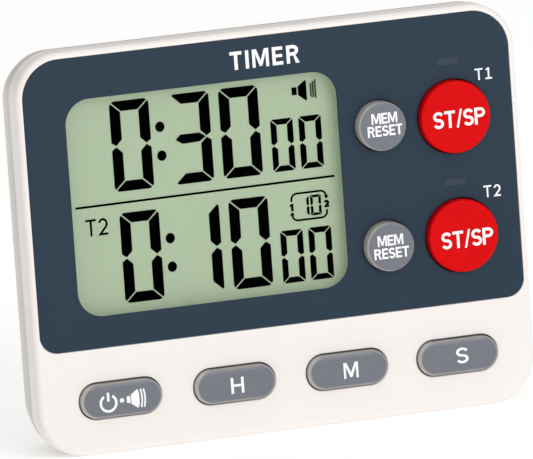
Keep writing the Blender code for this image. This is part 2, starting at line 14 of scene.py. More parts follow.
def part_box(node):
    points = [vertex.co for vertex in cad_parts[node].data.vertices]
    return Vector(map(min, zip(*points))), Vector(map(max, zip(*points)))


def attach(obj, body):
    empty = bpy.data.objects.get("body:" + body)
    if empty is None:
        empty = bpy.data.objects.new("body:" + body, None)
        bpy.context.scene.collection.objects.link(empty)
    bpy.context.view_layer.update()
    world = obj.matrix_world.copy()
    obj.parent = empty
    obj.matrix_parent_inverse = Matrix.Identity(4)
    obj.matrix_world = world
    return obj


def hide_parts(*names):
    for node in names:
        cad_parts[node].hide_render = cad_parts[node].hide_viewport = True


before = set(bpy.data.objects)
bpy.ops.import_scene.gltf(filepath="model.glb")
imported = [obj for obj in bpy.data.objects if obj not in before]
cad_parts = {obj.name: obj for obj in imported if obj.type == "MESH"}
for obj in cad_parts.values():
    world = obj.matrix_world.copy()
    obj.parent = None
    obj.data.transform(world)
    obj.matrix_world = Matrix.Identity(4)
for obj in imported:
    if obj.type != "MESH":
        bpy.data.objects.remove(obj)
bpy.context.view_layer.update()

MM = 0.001
FRONT_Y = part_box("front_shell")[0].y / MM
SCENE = bpy.context.scene
SCENE.view_settings.view_transform = "Standard"

# The case, as far as its boxes don't say it
R_TOP = 9.05
R_LOW = 9.5
EDGE_R = 1.1
SEAM_R = 0.2
WALL = 2.0
FRONT_WALL = 2.3
FRONT_END = 5.2
THICK = 20.0
REAR_X = (-51.7, 51.7)
REAR_TOP = 80.7
REAR_R_TOP = 8.75
REAR_START = 5.5
REAR_EDGE_R = 1.2
REAR_WALL = 1.9
CREASE = 8.4  # the sides and the top lean in behind this depth
CREASE_SOFT = 0.5
LEAN = 2.68
INNER_X = (-48.9, 48.9)
INNER_Z = (3.1, 77.9)
INNER_R_TOP = 5.95
INNER_R_LOW = 6.4
INNER_LEAN = 1.5
LIP_GAP = 0.2
RIM = 0.22  # round-over of the openings in the case
REAR_RIM = 0.18
HAIR = 0.0001  # stands for no round-over

# Panel, window and keys
PANEL_R_TOP = 7.7
PANEL_R_LOW = 3.6
PANEL_GAP = 0.1
PANEL_SEAT = 0.6
FILM_RIM = 0.12
WINDOW_R = 5.1
WINDOW_MARGIN = 1.8
LENS_SEAT = (0.3, 1.75)
LENS_GAP = 0.1
OPENING_GROWTH = 0.6  # of the case's opening past the window, under the panel
HOLE_GAP = 0.25
FLANGE = 0.9
FLANGE_DEPTH = (2.5, 3.3)
LONG_R = 3.4
LAMP_R = 0.4

# Back
SUNK = 18.6  # depth that posts and walls reach, inside the back's own wall
BAY_X = (17.0, 40.0)
BAY_Z = (7.0, 57.0)
BAY_FLOOR = 7.8
BAY_WALL = 1.2
BAY_WALL_DEPTH = (6.8, 18.5)
DOOR_X = (15.0, 42.0)
DOOR_RECESS_X = (14.7, 42.3)
DOOR_RECESS_Z = (-1.0, 60.3)
DOOR_RECESS_FLOOR = 18.3
RAILS = ((12.4, 44.6), (16.9, 18.55), (1.2, 61.8))  # x, depth and z
TONGUE = 0.9
TONGUE_THICK = 0.45
TONGUE_Z = (4.0, 58.0)
STAND_X = (-37.8, 7.0)
STAND_GAP = 0.4
STAND_RECESS_Z = (7.6, 59.3)
STAND_RECESS_FLOOR = 16.8
STAND_WALL_DEPTH = (15.4, SUNK)
STAND_WALL_Z = (2.0, 60.9)
SCOOP_WIDTH = 15.0
SCOOP_Z = (3.2, 9.4)
SCOOP_FLOOR = 17.6
HINGE_DEPTH = 18.6
HINGE_Z = 57.6
FIELD_R = 3.0  # the inset field of the stand
FIELD_DEPTH = 0.6
PIN = 1.7  # its length past the side of the stand
PIN_R = 0.8
PIN_HOLE_R = 0.89
MAGNET_POST_R = 7.4
MAGNET_HOLE_R = 6.15
MAGNET_FLOOR = 17.8
WELL_R = 2.3
WELL_FLOOR = 14.0
SLOT_Z = (65.0, 73.0)
SLOT_WIDTH = 1.3
SLOT_PITCH = 3.0
GROOVE = 0.9
GROOVE_PITCH = 1.8
GROOVE_DEPTH = 0.5
GROOVE_R = 0.44
NUB = 1.0  # of a battery cell
NUB_R = 1.9

ROUND = 96  # sides of a round piece
CELL_SIDES = 64
SHARP = 30  # degrees between faces that meet in a sharp edge
LETTER_THICK = 0.03

MARK_DEPTH = (0.03, 0.07)  # of the display's marks, behind the front glass
DISPLAY_OFF = (-0.15, 0.20)

# How far a mark is set over for each millimetre that it lies behind the front plane, so that it is read
# in the same place against the face
SIGHT_X = 0.3147
SIGHT_Z = 0.1753

# Studio
HORIZON = 0.05
ZENITH = 1.0
FAR_WALL = (0.05, 0.065)  # height where the white round the floor fades out
KEY = 8.0
STRIP = 0.15
FLOOR_GLOW = 0.28
LAMPS_AIM = (0.0, 0.0, 0.04)
FLOOR_HALF = 30000
FLOOR_GAP = 0.02

# Camera, in degrees and metres
CAMERA_TURN = (17.467, 9.490, 4.054)  # to the left, up and rolled
CAMERA_DISTANCE = 2.169
CAMERA_SHIFT = (-0.0016056, -0.0097176)  # right and up
AIM_HEIGHT = 0.0505
VIEW_WIDTH = 0.10570364  # at the target


def span(node):
    """The x, depth and z ends of a CAD node."""
    low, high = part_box(node)
    low, high = low / MM, high / MM
    return (low.x, high.x), (low.y - FRONT_Y, high.y - FRONT_Y), (low.z, high.z)


def middle(ends):
    return (ends[0] + ends[1]) / 2


def around(centre, length):
    return centre - length / 2, centre + length / 2


def place_of(node):
    """Middle x and z of a CAD node."""
    x, _, z = span(node)
    return middle(x), middle(z)


# ---- mesh code


def outline(x, z, r_top, r_low, grow=0.0, steps=16):
    """Points of a rounded rectangle, grown by this much, with its corners' centres left in place."""
    (x0, x1), (z0, z1) = x, z
    corners = (
        (x1 - r_top, z1 - r_top, r_top, 0),
        (x0 + r_top, z1 - r_top, r_top, 90),
        (x0 + r_low, z0 + r_low, r_low, 180),
        (x1 - r_low, z0 + r_low, r_low, 270),
    )
    points = []
    for centre_x, centre_z, radius, start in corners:
        for i in range(steps + 1):
            angle = math.radians(start + 90 * i / steps)
            reach = radius + grow
            points.append((centre_x + reach * math.cos(angle), centre_z + reach * math.sin(angle)))
    return points


def loft(rings):
    """A closed body through rings of equally many points."""
    bm = bmesh.new()
    loops = [[bm.verts.new(point) for point in ring] for ring in rings]
    count = len(rings[0])
    for loop, following in zip(loops, loops[1:]):
        for i in range(count):
            j = (i + 1) % count
            bm.faces.new((loop[i], loop[j], following[j], following[i]))
    bm.faces.new(loops[0])
    bm.faces.new(loops[-1])
    bmesh.ops.remove_doubles(bm, verts=bm.verts, dist=1e-5)
    bmesh.ops.recalc_face_normals(bm, faces=bm.faces)
    return bm


def plate(x, z, r_top, r_low, profile, steps=16):
    """A rounded-rectangle body whose outline grows by each (depth, grow) of the profile."""
    rings = []
    for depth, grow in profile:
        ring = outline(x, z, r_top, r_low, grow, steps)
        rings.append([(px, FRONT_Y + depth, pz) for px, pz in ring])
    return loft(rings)


def turned(x, z, radius, profile, sides=ROUND):
    """A round body from front to back, whose radius grows by each (depth, grow) of the profile."""
    angles = [2 * math.pi * i / sides for i in range(sides)]
    rings = []
    for depth, grow in profile:
        reach = radius + grow
        rings.append([(x + reach * math.cos(a), FRONT_Y + depth, z + reach * math.sin(a)) for a in angles])
    return loft(rings)


def rod(place, radius, depths, sides=24):
    """A plain round bar from front to back."""
    return turned(*place, radius, [(depth, 0.0) for depth in depths], sides)


def nose(face, inwards, radius, steps):
    """Profile points of a quarter-round outer edge, from the face to the side."""
    points = []
    for i in range(steps + 1):
        angle = math.pi / 2 * i / steps
        depth = face + inwards * radius * (1 - math.cos(angle))
        points.append((depth, -radius * (1 - math.sin(angle))))
    return points


def mouth(face, floor, grow=0.0, radius=RIM, steps=4):
    """Profile points of a cutter that leaves a quarter-round rim where it enters the face."""
    inwards = 1.0 if floor > face else -1.0
    points = [(face - inwards, grow + radius), (face, grow + radius)]
    for i in range(1, steps + 1):
        angle = math.pi / 2 * i / steps
        depth = face + inwards * radius * (1 - math.cos(angle))
        points.append((depth, grow + radius * (1 - math.sin(angle))))
    return points + [(floor, grow)]


def block(x, depth, z):
    ends = (x, (FRONT_Y + depth[0], FRONT_Y + depth[1]), z)
    size = [high - low for low, high in ends]
    bm = bmesh.new()
    bmesh.ops.create_cube(bm, matrix=Matrix.LocRotScale([middle(e) for e in ends], None, size))
    return bm


def crosswise(x, depth, z, radius, sides):
    """A round bar from left to right."""
    bm = bmesh.new()
    bmesh.ops.create_cone(
        bm, cap_ends=True, segments=sides, radius1=radius, radius2=radius, depth=x[1] - x[0]
    )
    bm.transform(Matrix.Rotation(math.pi / 2, 4, "Y"))
    bm.transform(Matrix.Translation((middle(x), FRONT_Y + depth, z)))
    return bm


def bevel(bm, edges, radius, steps):
    bmesh.ops.bevel(bm, geom=list(edges), offset=radius, segments=steps, profile=0.5, affect="EDGES")


def edges_where(bm, test):
    return [e for e in bm.edges if all(test(v.co) for v in e.verts)]


def near(value, target):
    return abs(value - target) < 1e-3


def runs_back(edge):
    """True if an edge at the top or the bottom of a block runs from front to back."""
    return abs(edge.verts[0].co.x - edge.verts[1].co.x) < 1


def prisms(polygons, front, back):
    """Flat marks: each polygon of (x, z) points becomes a thin closed plate."""
    bm = bmesh.new()
    for polygon in polygons:
        near_loop = [bm.verts.new((x, FRONT_Y + front, z)) for x, z in polygon]
        far_loop = [bm.verts.new((x, FRONT_Y + back, z)) for x, z in polygon]
        bm.faces.new(near_loop)
        bm.faces.new(far_loop)
        count = len(polygon)
        for i in range(count):
            j = (i + 1) % count
            bm.faces.new((near_loop[i], near_loop[j], far_loop[j], far_loop[i]))
    bmesh.ops.recalc_face_normals(bm, faces=bm.faces)
    return bm


def to_mesh(name, bm):
    bm.transform(Matrix.Scale(MM, 4))
    mesh = bpy.data.meshes.new(name)
    bm.to_mesh(mesh)
    bm.free()
    return mesh


def carve(obj, joins, cuts):
    """Join and then cut these bodies, in millimetres, into the mesh of an object."""
    tools = []
    for operation, group in (("UNION", joins), ("DIFFERENCE", cuts)):
        for tool_bm in group:
            tool = bpy.data.objects.new("tool", to_mesh("tool", tool_bm))
            SCENE.collection.objects.link(tool)
            tools.append(tool)
            modifier = obj.modifiers.new("tool", "BOOLEAN")
            modifier.operation = operation
            modifier.solver = "EXACT"
            modifier.object = tool
    if not tools:
        return
    view = bpy.context.evaluated_depsgraph_get()
    view.update()
    made = bpy.data.meshes.new_from_object(obj.evaluated_get(view))
    obj.modifiers.clear()
    obj.data = made
    for tool in tools:
        bpy.data.objects.remove(tool, do_unlink=True)


def piece(name, bm, material, body="case", replaces=(), joins=(), cuts=(), fittings=((), ()), weighted=True):
    """A finished piece from a bmesh in millimetres. Its fittings are joins and cuts that come last."""
    obj = bpy.data.objects.new(name, to_mesh(name, bm))
    SCENE.collection.objects.link(obj)
    carve(obj, joins, cuts)
    carve(obj, *fittings)
    obj.data.shade_smooth()
    obj.data.set_sharp_from_angle(angle=math.radians(SHARP))
    obj.data.materials.clear()
    obj.data.materials.append(material)
    if weighted:
        modifier = obj.modifiers.new("normals", "WEIGHTED_NORMAL")
        modifier.keep_sharp = True
    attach(obj, body)
    if replaces:
        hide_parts(*replaces)


def filled(contours, front, back):
    """Flat marks with holes: closed contours of (x, z) points, filled between two depths."""
    curve = bpy.data.curves.new("marks", "CURVE")
    curve.dimensions = "2D"
    curve.fill_mode = "BOTH"
    curve.extrude = 0.5
    for contour in contours:
        spline = curve.splines.new("POLY")
        spline.points.add(len(contour) - 1)
        for point, (x, z) in zip(spline.points, contour):
            point.co = (x, z, 0.0, 1.0)
        spline.use_cyclic_u = True
    shape = bpy.data.objects.new("marks", curve)
    SCENE.collection.objects.link(shape)
    view = bpy.context.evaluated_depsgraph_get()
    view.update()
    mesh = bpy.data.meshes.new_from_object(shape.evaluated_get(view))
    bpy.data.objects.remove(shape, do_unlink=True)
    bm = bmesh.new()
    bm.from_mesh(mesh)
    bmesh.ops.remove_doubles(bm, verts=bm.verts, dist=1e-4)
    for v in bm.verts:
        v.co = (v.co.x, FRONT_Y + (front if v.co.z > 0 else back), v.co.y)
    bmesh.ops.recalc_face_normals(bm, faces=bm.faces)
    return bm


# ---- letters


def sweep(centre_x, centre_z, radius_x, radius_z, start, end, steps=14):
    """Points along part of an ellipse."""
    angles = [math.radians(start + (end - start) * i / steps) for i in range(steps + 1)]
    return [(centre_x + radius_x * math.cos(a), centre_z + radius_z * math.sin(a)) for a in angles]


def stroke(path, width):
    """Outline of a pen line along an open path, with mitred bends."""
    sides = ([], [])
    for i, (x, z) in enumerate(path):
        before, after = path[max(i - 1, 0)], path[min(i + 1, len(path) - 1)]
        incoming = Vector((x - before[0], z - before[1]))
        outgoing = Vector((after[0] - x, after[1] - z))
        first = incoming.normalized() if incoming.length else outgoing.normalized()
        second = outgoing.normalized() if outgoing.length else first
        along = (first + second).normalized()
        reach = width / 2 / max(0.35, along.dot(first))
        sides[0].append((x - along.y * reach, z + along.x * reach))
        sides[1].append((x + along.y * reach, z - along.x * reach))
    return sides[0] + sides[1][::-1]


def glyph(letter, t):
    """Width and contours of a plain letter or figure of height 1; "l" stands for a one with a foot."""
    if letter == "I":
        return t, [[(0, 0), (t, 0), (t, 1), (0, 1)]]
    if letter == "T":
        w, a, b = 0.68, 0.34 - t / 2, 0.34 + t / 2
        return w, [[(0, 1), (0, 1 - t), (a, 1 - t), (a, 0), (b, 0), (b, 1 - t), (w, 1 - t), (w, 1)]]
    if letter == "H":
        w, a, b = 0.74, 0.5 - t / 2, 0.5 + t / 2
        return w, [[(0, 0), (t, 0), (t, a), (w - t, a), (w - t, 0), (w, 0), (w, 1), (w - t, 1), (w - t, b),
                    (t, b), (t, 1), (0, 1)]]
    if letter == "M":
        w, a, b, v = 0.93, 1.30 * t, 0.40 * t, 0.9 * t
        return w, [[(0, 0), (v, 0), (v, 0.76), (w / 2 - b, 0.06), (w / 2 + b, 0.06), (w - v, 0.76),
                    (w - v, 0), (w, 0), (w, 1), (w - a, 1), (w / 2, 0.36), (a, 1), (0, 1)]]
    if letter == "E":
        w, a, b = 0.60, 0.50 - t * 0.45, 0.50 + t * 0.45
        return w, [[(0, 0), (w, 0), (w, t), (t, t), (t, a), (w - 0.04, a), (w - 0.04, b), (t, b),
                    (t, 1 - t), (w - 0.01, 1 - t), (w - 0.01, 1), (0, 1)]]
    if letter in "PR":
        w, low, bend = 0.70, 0.42, 0.36
        r = (1 - low) / 2
        level = 1 - r
        outer = [(0, 0), (0, 1)] + sweep(bend, level, w - bend - 0.02, r, 90, -90)
        inner = [(t, 1 - t)] + sweep(bend, level, w - bend - 0.02 - t, r - t, 90, -90) + [(t, low + t)]
        if letter == "R":
            leg = [(w + 0.03, 0), (w + 0.03 - 1.2 * t, 0), (bend + 0.02, low)]
            outer = outer[:-2] + leg + [(t, low), (t, 0)]
        else:
            outer += [(t, low), (t, 0)]
        return w + (0.03 if letter == "R" else 0.0), [outer, inner]
    if letter == "S":
        w, r = 0.66, (1 - t) / 4
        path = sweep(w / 2, 1 - t / 2 - r, (w - t) / 2, r, 20, 262)
        path += sweep(w / 2, t / 2 + r, (w - t) / 2, r, 82, -160)
        return w, [stroke(path, t)]
    if letter == "/":
        w, v = 0.40, 0.75 * t
        return w, [[(0, -0.04), (v, -0.04), (w, 1.04), (w - v, 1.04)]]
    if letter == "l":
        w, a = 0.56, 0.28
        return w, [[(0, 0), (w, 0), (w, t), (a + t / 2, t), (a + t / 2, 1), (a - t / 3, 1), (0.06, 0.88),
                    (0.06, 0.88 - t * 0.8), (a - t / 2, 0.88 - t * 0.6), (a - t / 2, t), (0, t)]]
    if letter == "1":
        w = 0.40
        return w, [[(w - t, 0), (w, 0), (w, 1), (w - t, 1), (0, 0.80), (0, 0.80 - t), (w - t, 1 - 1.2 * t)]]
    w, r = 0.60, 0.27
    path = sweep(w / 2, 1 - t / 2 - r, (w - t) / 2, r, 165, -20)
    path += [(w - 0.7 * t, 0.52), (0.75 * t, t / 2), (w, t / 2)]
    return w, [stroke(path, t)]


def lettering(name, text, x, z, front, material, body="case", pen=0.15, gap=0.13):
    """Printed letters that fill this x and z range, standing a little proud of the surface."""
    contours, across = [], 0.0
    for letter in text:
        width, shapes = glyph(letter, pen)
        contours += [[(across + px, pz) for px, pz in shape] for shape in shapes]
        across += width + gap
    across -= gap
    fit_x, fit_z = (x[1] - x[0]) / across, z[1] - z[0]
    contours = [[(x[0] + px * fit_x, z[0] + pz * fit_z) for px, pz in shape] for shape in contours]
    piece(name, filled(contours, front - LETTER_THICK, front + 0.01), material, body, weighted=False)


# ---- materials


def srgb(red, green, blue):
    def linear(value):
        value /= 255
        return value / 12.92 if value <= 0.04045 else ((value + 0.055) / 1.055) ** 2.4

    return linear(red), linear(green), linear(blue), 1.0


def map_range(tree, source, low, high, start, end):
    """A value that goes from low to high while the source goes from start to end."""
    node = tree.nodes.new("ShaderNodeMapRange")
    node.inputs["From Min"].default_value = start
    node.inputs["From Max"].default_value = end
    node.inputs["To Min"].default_value = low
    node.inputs["To Max"].default_value = high
    tree.links.new(source, node.inputs["Value"])
    return node.outputs["Result"]


def combine(tree, operation, first, second):
    """A maths operation on two values."""
    node = tree.nodes.new("ShaderNodeMath")
    node.operation = operation
    tree.links.new(first, node.inputs[0])
    tree.links.new(second, node.inputs[1])
    return node.outputs["Value"]


class Material:
    """A node material. Each helper adds one kind of detail, sized in metres."""

    def __init__(self, name, colour, rough, metal=0.0, gloss=0.5):
        self.made = bpy.data.materials.new(name)
        self.made.use_nodes = True
        self.tree = self.made.node_tree
        self.shader = self.tree.nodes["Principled BSDF"]
        self.shader.inputs["Base Color"].default_value = colour
        self.shader.inputs["Roughness"].default_value = rough
        self.shader.inputs["Metallic"].default_value = metal
        self.shader.inputs["Specular IOR Level"].default_value = gloss
        self.colour = colour
        self.rough = rough
        self.place = self.tree.nodes.new("ShaderNodeTexCoord").outputs["Object"]

    def link(self, source, target):
        self.tree.links.new(source, target)

    def axes(self, kind):
        """The x, y and z of a kind of texture coordinate."""
        split = self.tree.nodes.new("ShaderNodeSeparateXYZ")
        self.link(self.tree.nodes.new("ShaderNodeTexCoord").outputs[kind], split.inputs["Vector"])
        return split.outputs

    def glow(self, colour, strength):
        self.shader.inputs["Emission Color"].default_value = colour
        self.shader.inputs["Emission Strength"].default_value = strength
        return self

    def noise(self, size, detail=3.0, stretch=(1.0, 1.0, 1.0)):
        mapping = self.tree.nodes.new("ShaderNodeMapping")
        mapping.inputs["Scale"].default_value = stretch
        self.link(self.place, mapping.inputs["Vector"])
        node = self.tree.nodes.new("ShaderNodeTexNoise")
        node.inputs["Scale"].default_value = 1.0 / size
        node.inputs["Detail"].default_value = detail
        node.inputs["Roughness"].default_value = 0.6
        self.link(mapping.outputs["Vector"], node.inputs["Vector"])
        return node.outputs["Fac"]

    def ranged(self, source, low, high, start=0.3, end=0.7):
        return map_range(self.tree, source, low, high, start, end)

    def mix(self, factor, first, second):
        """A colour from two colours or sockets, by a socket's value."""
        node = self.tree.nodes.new("ShaderNodeMix")
        node.data_type = "RGBA"
        self.link(factor, node.inputs["Factor"])
        for socket, value in ((node.inputs["A"], first), (node.inputs["B"], second)):
            if isinstance(value, tuple):
                socket.default_value = value
            else:
                self.link(value, socket)
        return node.outputs["Result"]

    def drift(self, size, share):
        """Slow changes of tone, as resin has."""
        dark = tuple(c * (1 - share) for c in self.colour[:3]) + (1.0,)
        tone = self.mix(self.ranged(self.noise(size), 0.0, 1.0), dark, self.colour)
        self.link(tone, self.shader.inputs["Base Color"])
        return self

    def painted_rim_highlight(self, colour):
        """A painted highlight: a paler tone where the surface turns away from the front, most at the left,
        standing in for the light that the rims catch.
        """
        axes = self.axes("Normal")
        turned_away = self.ranged(axes["Y"], 0.0, 1.0, -0.95, -0.65)
        to_the_left = self.ranged(axes["X"], 1.0, 0.4, -0.5, 0.1)
        share = combine(self.tree, "MULTIPLY", turned_away, to_the_left)
        face = self.shader.inputs["Base Color"].links[0].from_socket
        self.link(self.mix(share, face, colour), self.shader.inputs["Base Color"])
        return self

    def polish(self, size, spread):
        """Uneven gloss from handling."""
        uneven = self.ranged(self.noise(size, 5.0), self.rough - spread, self.rough + spread)
        self.link(uneven, self.shader.inputs["Roughness"])
        return self

    def grain(self, size, height, stretch=(1.0, 1.0, 1.0)):
        """Fine relief: the texture of the mould, ink or metal."""
        bump = self.tree.nodes.new("ShaderNodeBump")
        bump.inputs["Strength"].default_value = 1.0
        bump.inputs["Distance"].default_value = height
        self.link(self.noise(size, 2.0, stretch=stretch), bump.inputs["Height"])
        self.link(bump.outputs["Normal"], self.shader.inputs["Normal"])
        return self


def clear(name, gloss, tint):
    """Clear sheet: light passes straight through, and the surface reflects by its Fresnel term."""
    made = bpy.data.materials.new(name)
    made.use_nodes = True
    tree = made.node_tree
    shader = tree.nodes["Principled BSDF"]
    shader.inputs["Base Color"].default_value = (0.0, 0.0, 0.0, 1.0)
    shader.inputs["Roughness"].default_value = 0.06
    through = tree.nodes.new("ShaderNodeBsdfTransparent")
    through.inputs["Color"].default_value = tint
    fresnel = tree.nodes.new("ShaderNodeFresnel")
    fresnel.inputs["IOR"].default_value = 1.45
    mixer = tree.nodes.new("ShaderNodeMixShader")
    share = map_range(tree, fresnel.outputs["Fac"], 0.0, gloss, 0.0, 1.0)
    tree.links.new(share, mixer.inputs["Fac"])
    tree.links.new(through.outputs["BSDF"], mixer.inputs[1])
    tree.links.new(shader.outputs["BSDF"], mixer.inputs[2])
    tree.links.new(mixer.outputs["Shader"], tree.nodes["Material Output"].inputs["Surface"])
    return made


def shell_plastic(name, colour):
    m = Material(name, colour, 0.42)
    return m.drift(0.035, 0.02).polish(0.012, 0.05).grain(0.00035, 0.000012).made


def panel_film():
    m = Material("panel_film", SLATE, 0.36, gloss=0.22)
    return m.drift(0.03, 0.05).polish(0.01, 0.05).grain(0.00022, 0.000008).made


def red_plastic():
    m = Material("red_plastic", srgb(214, 5, 9), 0.34, gloss=0.06)
    return m.drift(0.01, 0.05).polish(0.004, 0.06).grain(0.0003, 0.00001).made


def grey_plastic():
    m = Material("grey_plastic", srgb(111, 114, 123), 0.34, gloss=0.4).drift(0.01, 0.03)
    # The grey keys' rims get a painted highlight in this paler colour, strongest at the left.
    return m.painted_rim_highlight(srgb(184, 182, 176)).polish(0.004, 0.03).grain(0.00028, 0.000010).made


def ink(name, colour, gloss=0.3):
    return Material(name, colour, 0.5, gloss=gloss).drift(0.002, 0.04).grain(0.00015, 0.000004).made


def reflector_painted_glow():
    """The grey-green film behind the display. It glows a little though nothing lights it: painted light that
    lifts the shade cast by the window's edge.
    """
    m = Material("reflector_painted_glow", srgb(154, 168, 144), 0.6).glow(srgb(178, 194, 166), 0.27)
    return m.drift(0.0009, 0.03).grain(0.00012, 0.000006).made


def smoked_window():
    """A dark window that fades into the colour of the panel round its edge."""
    m = Material("smoked_lens", srgb(52, 62, 78), 0.36, gloss=0.22).drift(0.002, 0.1)
    axes = m.axes("Generated")
    tone = m.shader.inputs["Base Color"].links[0].from_socket
    for axis, border in (("X", 0.06), ("Z", 0.16)):
        for start, end in ((0.0, border), (1.0, 1.0 - border)):
            tone = m.mix(m.ranged(axes[axis], 0.0, 1.0, start, end), SLATE, tone)
    m.link(tone, m.shader.inputs["Base Color"])
    return m.grain(0.0003, 0.000006).made


def plain(name, colour, rough, drift, grain, metal=0.0):
    """A material whose detail is a drift of tone and a relief, each a (size, amount)."""
    return Material(name, colour, rough, metal).drift(*drift).grain(*grain).made


def sprung_steel():
    m = Material("steel", srgb(190, 190, 188), 0.3, 1.0).polish(0.001, 0.1)
    return m.grain(0.0002, 0.00001, (1.0, 1.0, 8.0)).made


SLATE = srgb(31, 51, 67)
SHELL = shell_plastic("shell_plastic", srgb(240, 234, 230))
# The back is the shell's plastic painted darker: painted shade for the band behind the crease, which turns
# away from the light.
REAR_SHELL_SHADED = shell_plastic("rear_plastic_painted_shade", srgb(210, 206, 197))
PANEL = panel_film()
RED = red_plastic()
GREY = grey_plastic()
WHITE_INK = ink("white_ink", srgb(250, 250, 250))
BLACK_INK = ink("liquid_crystal", srgb(2, 2, 2), 0.0)
FAINT_INK = ink("liquid_crystal_faint", srgb(36, 41, 32), 0.0)
REFLECTOR_GLOWING = reflector_painted_glow()
LENS = clear("window_acrylic", 0.07, (1.0, 1.0, 1.0, 1.0))
GLASS = clear("display_glass", 0.03, (0.99, 1.0, 0.985, 1.0))
SMOKE = smoked_window()
STEEL = sprung_steel()
RUBBER = plain("rubber", srgb(34, 34, 35), 0.8, (0.002, 0.2), (0.0002, 0.00003))
SILICONE = plain("silicone", srgb(196, 196, 190), 0.6, (0.004, 0.08), (0.0004, 0.00002))
EPOXY = plain("epoxy", srgb(22, 22, 24), 0.3, (0.002, 0.2), (0.0006, 0.00003))
BOARD = plain("board", srgb(30, 96, 48), 0.4, (0.0015, 0.35), (0.0005, 0.00002))
FERRITE = plain("ferrite", srgb(64, 64, 68), 0.42, (0.001, 0.25), (0.0002, 0.00003), 0.5)
CELL = plain("cell_label", srgb(70, 74, 82), 0.3, (0.006, 0.3), (0.0004, 0.00001), 0.5)
BAND = plain("cell_band", srgb(150, 154, 160), 0.32, (0.006, 0.2), (0.0004, 0.00001), 0.5)
LAMP = plain("lamp", srgb(150, 30, 30), 0.3, (0.001, 0.2), (0.0003, 0.00001))


# ---- the round and the long keys

CHANNELS = ("t1", "t2")
ROUND_NODES = [f"button_start_{n}" for n in CHANNELS] + [f"button_reset_{n}" for n in CHANNELS]
LONG_NODES = ["key_power", "key_hour", "key_minute", "key_second"]
LAMP_NODES = [f"light_pipe_{n}" for n in CHANNELS]


def round_key(node):
    """Centre x and z, radius and height above the front plane."""
    x, depth, z = span(node)
    return middle(x), middle(z), (x[1] - x[0]) / 2 - FLANGE, -depth[0]


def long_key(node):
    """The x and z ends of the key itself, without its flange, and its height above the front plane."""
    x, depth, z = span(node)
    return (x[0] + FLANGE, x[1] - FLANGE), (z[0] + FLANGE, z[1] - FLANGE), -depth[0]


def build_round_keys():
    start, end = FLANGE_DEPTH
    for node in ROUND_NODES:
        x, z, radius, proud = round_key(node)
        large = "start" in node
        profile = nose(-proud, 1.0, 0.45 if large else 0.6, 8)
        profile += [(start, 0.0), (start, FLANGE), (end, FLANGE)]
        cap = turned(x, z, radius, profile)
        piece(f"cap_{node}", cap, RED if large else GREY, body=node, replaces=[node])


def build_long_keys():
    start, end = FLANGE_DEPTH
    for node in LONG_NODES:
        x, z, proud = long_key(node)
        profile = nose(-proud, 1.0, 1.0, 8) + [(start, 0.0), (start, FLANGE), (end, FLANGE)]
        cap = plate(x, z, LONG_R, LONG_R, profile, steps=20)
        piece(f"cap_{node}", cap, GREY, body=node, replaces=[node])


# ---- case


def hole_cutters(face, through, rim):
    """Cutters for the round keys and the lamps."""
    made = []
    for node in ROUND_NODES:
        x, z, radius, _ = round_key(node)
        made.append(turned(x, z, radius, mouth(face, through, HOLE_GAP, rim)))
    for node in LAMP_NODES:
        x, _, z = span(node)
        made.append(plate(x, z, LAMP_R, LAMP_R, mouth(face, through, 0.01, 0.005, 3), steps=5))
    return made


def posts(count, name, post, bore, joins, cuts):
    """Bored posts for screws: the post and the bore are each a radius and two depths."""
    for screw in range(1, count + 1):
        place = place_of(f"{name}_{screw}")
        joins.append(rod(place, post[0], post[1:]))
        cuts.append(rod(place, bore[0], bore[1:]))


def window():
    """The x and z ends of the opening that the display is read through."""
    x, _, z = span("display_window")
    return (x[0] + WINDOW_MARGIN, x[1] - WINDOW_MARGIN), (z[0] + WINDOW_MARGIN, z[1] - WINDOW_MARGIN)


def build_front_shell():
    x, _, z = span("front_shell")
    panel_x, _, panel_z = span("face_panel")
    through = FRONT_WALL + 1
    profile = nose(0.0, 1.0, EDGE_R, 10) + nose(FRONT_END, -1.0, SEAM_R, 4)[::-1]
    inside_x, inside_z = (x[0] + WALL, x[1] - WALL), (z[0] + WALL, z[1] - WALL)
    hollow = plate(
        inside_x, inside_z, R_TOP - WALL, R_LOW - WALL, [(FRONT_WALL, 0), (FRONT_END + 2, 0)], steps=12
    )
    recess = mouth(0.0, PANEL_SEAT, PANEL_GAP, 0.16)
    seat = [(depth, WINDOW_MARGIN + LENS_GAP) for depth in LENS_SEAT]
    opening = [(depth, OPENING_GROWTH) for depth in (LENS_SEAT[0], through)]
    cuts = [
        plate(panel_x, panel_z, PANEL_R_TOP, PANEL_R_LOW, recess, steps=24),
        plate(*window(), WINDOW_R, WINDOW_R, seat),
        plate(*window(), WINDOW_R, WINDOW_R, opening),
    ]
    cuts += hole_cutters(LENS_SEAT[0], through, HAIR)
    for node in LONG_NODES:
        key_x, key_z, _ = long_key(node)
        cuts.append(plate(key_x, key_z, LONG_R, LONG_R, mouth(0.0, through, HOLE_GAP, RIM), steps=20))
    joins = []
    posts(4, "case_screw", (2.7, FRONT_WALL - 0.4, 12.0), (1.35, 4.0, 13.0), joins, cuts)
    posts(3, "board_screw", (1.9, FRONT_WALL - 0.4, 5.2), (0.9, 2.8, 6.5), joins, cuts)
    body = plate(x, z, R_TOP, R_LOW, profile, steps=24)
    piece("shell_front", body, SHELL, replaces=["front_shell"], cuts=[hollow], fittings=(joins, cuts))


